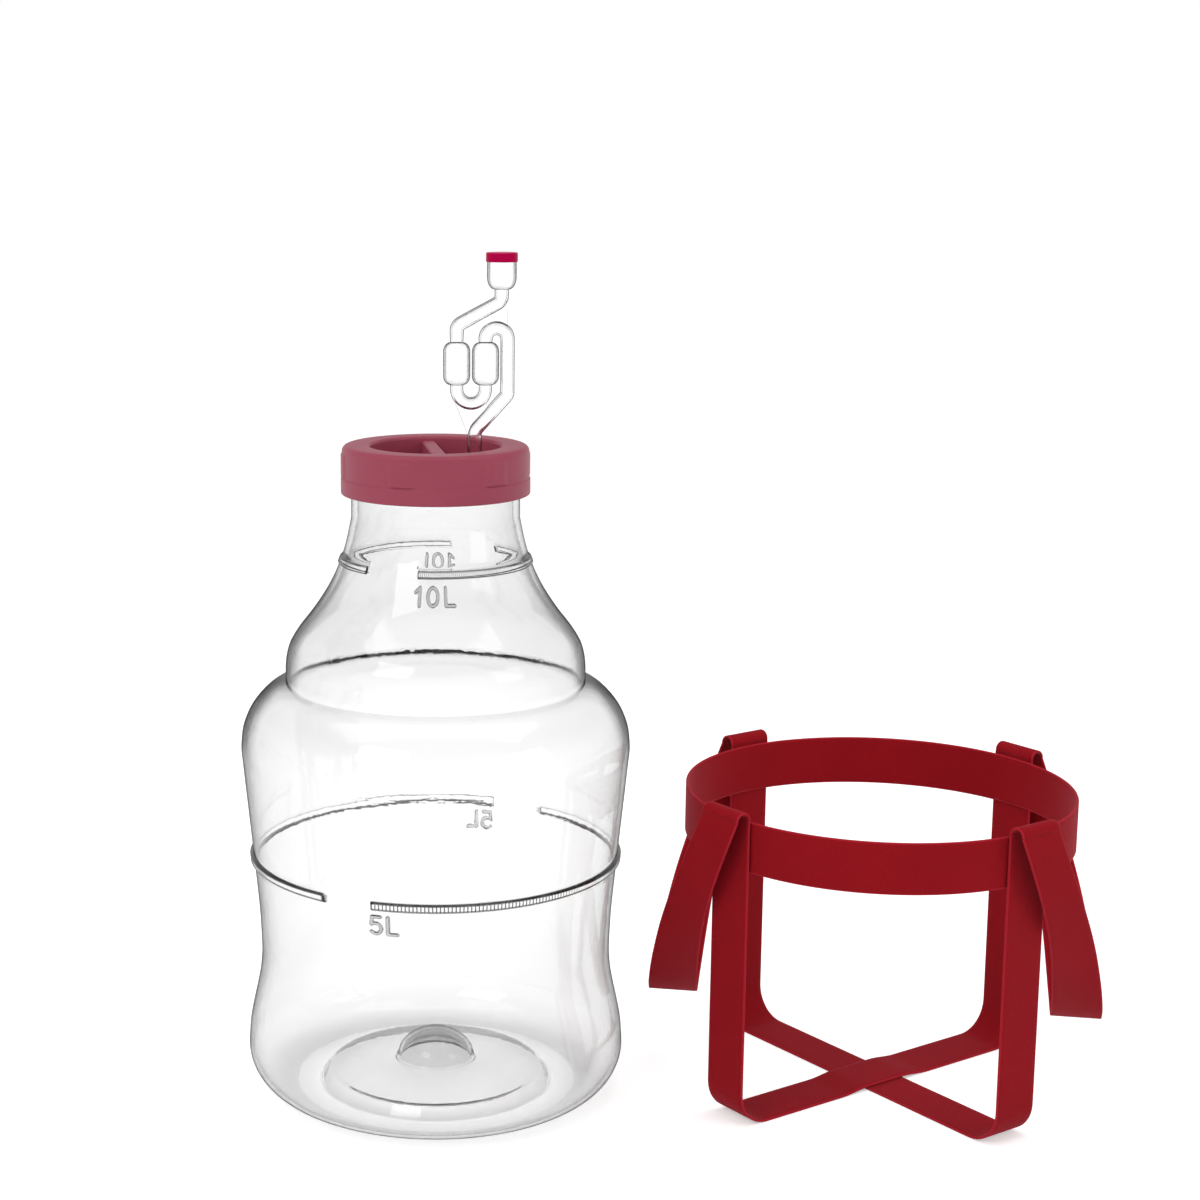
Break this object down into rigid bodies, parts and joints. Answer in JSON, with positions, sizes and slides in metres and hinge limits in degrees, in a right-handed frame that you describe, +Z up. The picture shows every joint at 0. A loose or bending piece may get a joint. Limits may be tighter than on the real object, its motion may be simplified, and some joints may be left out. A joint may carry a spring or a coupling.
{
  "type": "plastic demijohn with airlock",
  "caption": "Clear plastic demijohn with a screw cap, rubber grommet, twin-bulb airlock and dust cap, beside its webbing carrying harness.",
  "frame": {"origin": "centre of the footprint of the bottle and its harness, on the surface they stand on", "axes": "+X from the bottle to the harness, -Y the front with the volume marks, +Z up"},
  "size_m": [0.5128, 0.2294, 0.498],
  "materials": {
    "clear_bottle": "clear blown plastic, glossy",
    "burgundy_cap": "satin moulded plastic",
    "white_rubber": "soft translucent white rubber",
    "clear_airlock": "clear moulded plastic, glossy",
    "magenta_dust_cap": "satin moulded plastic",
    "red_webbing": "tightly woven flat webbing"
  },
  "bodies": {
    "bottle": {"bottle": "clear_bottle"},
    "cap_seal": {"cap_seal": "white_rubber"},
    "screw_cap": {"screw_cap": "burgundy_cap"},
    "grommet": {"grommet": "white_rubber"},
    "airlock": {"airlock_front_half": "clear_airlock", "airlock_back_half": "clear_airlock"},
    "dust_cap": {"dust_cap": "magenta_dust_cap"},
    "harness": {"hoop_band": "red_webbing", "strap_front_left_to_back_right": "red_webbing", "strap_front_right_to_back_left": "red_webbing", "fold_front_left": "red_webbing", "fold_front_right": "red_webbing", "fold_back_left": "red_webbing", "fold_back_right": "red_webbing"},
    "handle_left": {"handle_left": "red_webbing"},
    "handle_right": {"handle_right": "red_webbing"}
  },
  "joints": [
    {"name": "cap_lift", "type": "slide", "parent": "bottle", "child": "cap_seal", "axis": [0, 0, 1], "range_m": [0, 0.042]},
    {"name": "cap_turn", "type": "hinge", "parent": "cap_seal", "child": "screw_cap", "pos_m": [-0.1417, 0, 0.374], "axis": [0, 0, 1], "range_deg": [0, 150]},
    {"name": "grommet_pull", "type": "slide", "parent": "screw_cap", "child": "grommet", "axis": [0, 0, 1], "range_m": [0, 0.036]},
    {"name": "airlock_pull", "type": "slide", "parent": "grommet", "child": "airlock", "axis": [0, 0, 1], "range_m": [0, 0.02]},
    {"name": "dust_cap_lift", "type": "slide", "parent": "airlock", "child": "dust_cap", "axis": [0, 0, 1], "range_m": [0, 0.012]},
    {"name": "harness_lift", "type": "slide", "parent": "bottle", "child": "harness", "axis": [0, 0, 1], "range_m": [0, 0.1]},
    {"name": "handle_left_swing", "type": "hinge", "parent": "harness", "child": "handle_left", "pos_m": [0.03901, 0.01619, 0.1855], "axis": [0.1908, 0.9816, 0], "range_deg": [0, 8], "deforming": ["fold_front_left", "fold_back_left"]},
    {"name": "handle_right_swing", "type": "hinge", "parent": "harness", "child": "handle_right", "pos_m": [0.20559, -0.01619, 0.1855], "axis": [-0.1908, -0.9816, 0], "range_deg": [0, 170], "deforming": ["fold_front_right", "fold_back_right"]}
  ]
}
